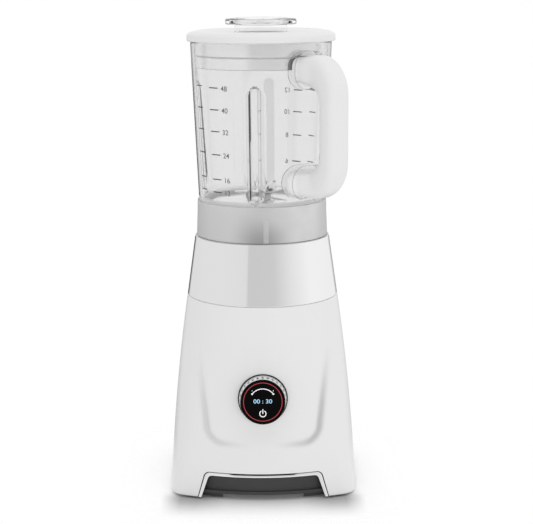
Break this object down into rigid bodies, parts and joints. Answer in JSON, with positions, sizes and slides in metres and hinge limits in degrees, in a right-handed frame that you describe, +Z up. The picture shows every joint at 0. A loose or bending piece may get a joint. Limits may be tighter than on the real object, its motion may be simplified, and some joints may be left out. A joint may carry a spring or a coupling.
{
  "type": "countertop blender",
  "caption": "Countertop blender: tapered white base with a steel band and a dial, clear fluted jar with side handle, blade unit, plug lid and measuring cap.",
  "frame": {"origin": "middle of the footprint on the worktop", "axes": "+Z up along the jar and motor axis, the dial faces -Y, +X to the right of someone facing the dial"},
  "size_m": [0.1756, 0.1946, 0.4345],
  "materials": {
    "white_abs": "satin moulded",
    "polished_steel": "polished",
    "dark_abs": "matt moulded",
    "grey_abs": "satin moulded",
    "black_rubber": "matt",
    "silicone": "matt",
    "stainless": "brushed",
    "lamination_steel": "stacked sheet",
    "cast_aluminium": "as cast",
    "copper": "enamelled wire",
    "bronze": "sintered",
    "carbon": "graphite",
    "circuit_board": "solder mask",
    "coupling_nylon": "glass filled",
    "clear_copolyester": "clear moulded",
    "frosted_copolyester": "frosted moulded",
    "black_window": "gloss",
    "red_lens": "gloss"
  },
  "bodies": {
    "base": {"base_housing": "white_abs", "arch_trim": "polished_steel", "bottom_cover": "dark_abs", "feet": "black_rubber", "cover_screws": "stainless", "cord_gland": "dark_abs", "steel_band": "polished_steel", "jar_seat": "grey_abs", "seat_pad": "black_rubber", "motor_stator": "lamination_steel", "field_coils": "copper", "lower_bracket": "cast_aluminium", "upper_bracket": "cast_aluminium", "lower_bearing": "stainless", "upper_bearing": "stainless", "motor_mounts": "black_rubber", "motor_bolts": "stainless", "brush_holders": "dark_abs", "carbon_brushes": "carbon", "fan_shroud": "dark_abs", "power_board": "circuit_board", "dial_carrier": "dark_abs", "dial_bezel": "grey_abs", "display_module": "dark_abs", "control_board": "circuit_board"},
    "rotor": {"motor_shaft": "stainless", "armature_core": "lamination_steel", "armature_windings": "copper", "commutator": "copper", "cooling_fan": "grey_abs", "drive_coupling": "coupling_nylon"},
    "dial_knob": {"dial_ring": "polished_steel"},
    "power_button": {"display_window": "black_window", "light_ring": "red_lens"},
    "jar": {"jar": "clear_copolyester", "handle": "white_abs", "jar_collar": "frosted_copolyester", "blade_gasket": "silicone", "blade_seat": "grey_abs", "upper_bushing": "bronze", "lower_bushing": "bronze", "shaft_seal": "silicone"},
    "blades": {"blade_shaft": "stainless", "thrust_washer": "stainless", "lower_blade": "stainless", "upper_blade": "stainless", "blade_nut": "stainless", "driven_coupling": "coupling_nylon"},
    "lid": {"lid": "white_abs", "lid_seal": "silicone"},
    "cap": {"measuring_cap": "clear_copolyester"}
  },
  "joints": [
    {"name": "jar_lift", "type": "slide", "parent": "base", "child": "jar", "axis": [0, 0, 1], "range_m": [0, 0.06]},
    {"name": "lid_lift", "type": "slide", "parent": "jar", "child": "lid", "axis": [0, 0, 1], "range_m": [0, 0.06]},
    {"name": "cap_lift", "type": "slide", "parent": "lid", "child": "cap", "axis": [0, 0, 1], "range_m": [0, 0.05]},
    {"name": "motor_spin", "type": "hinge", "parent": "base", "child": "rotor", "pos_m": [0, 0, 0.1], "axis": [0, 0, 1], "continuous": true},
    {"name": "blade_spin", "type": "hinge", "parent": "jar", "child": "blades", "pos_m": [0, 0, 0.27], "axis": [0, 0, 1], "continuous": true},
    {"name": "dial_turn", "type": "hinge", "parent": "base", "child": "dial_knob", "pos_m": [0, -0.08055, 0.0946], "axis": [0, -0.9945, 0.1045], "continuous": true},
    {"name": "power_press", "type": "slide", "parent": "base", "child": "power_button", "axis": [0, 0.9945, -0.1045], "range_m": [0, 0.0012], "stiffness_N_per_m": 600, "springref_m": -0.001}
  ],
  "couplings": [
    {"joint": "blade_spin", "follows": "motor_spin", "ratio": 1}
  ]
}
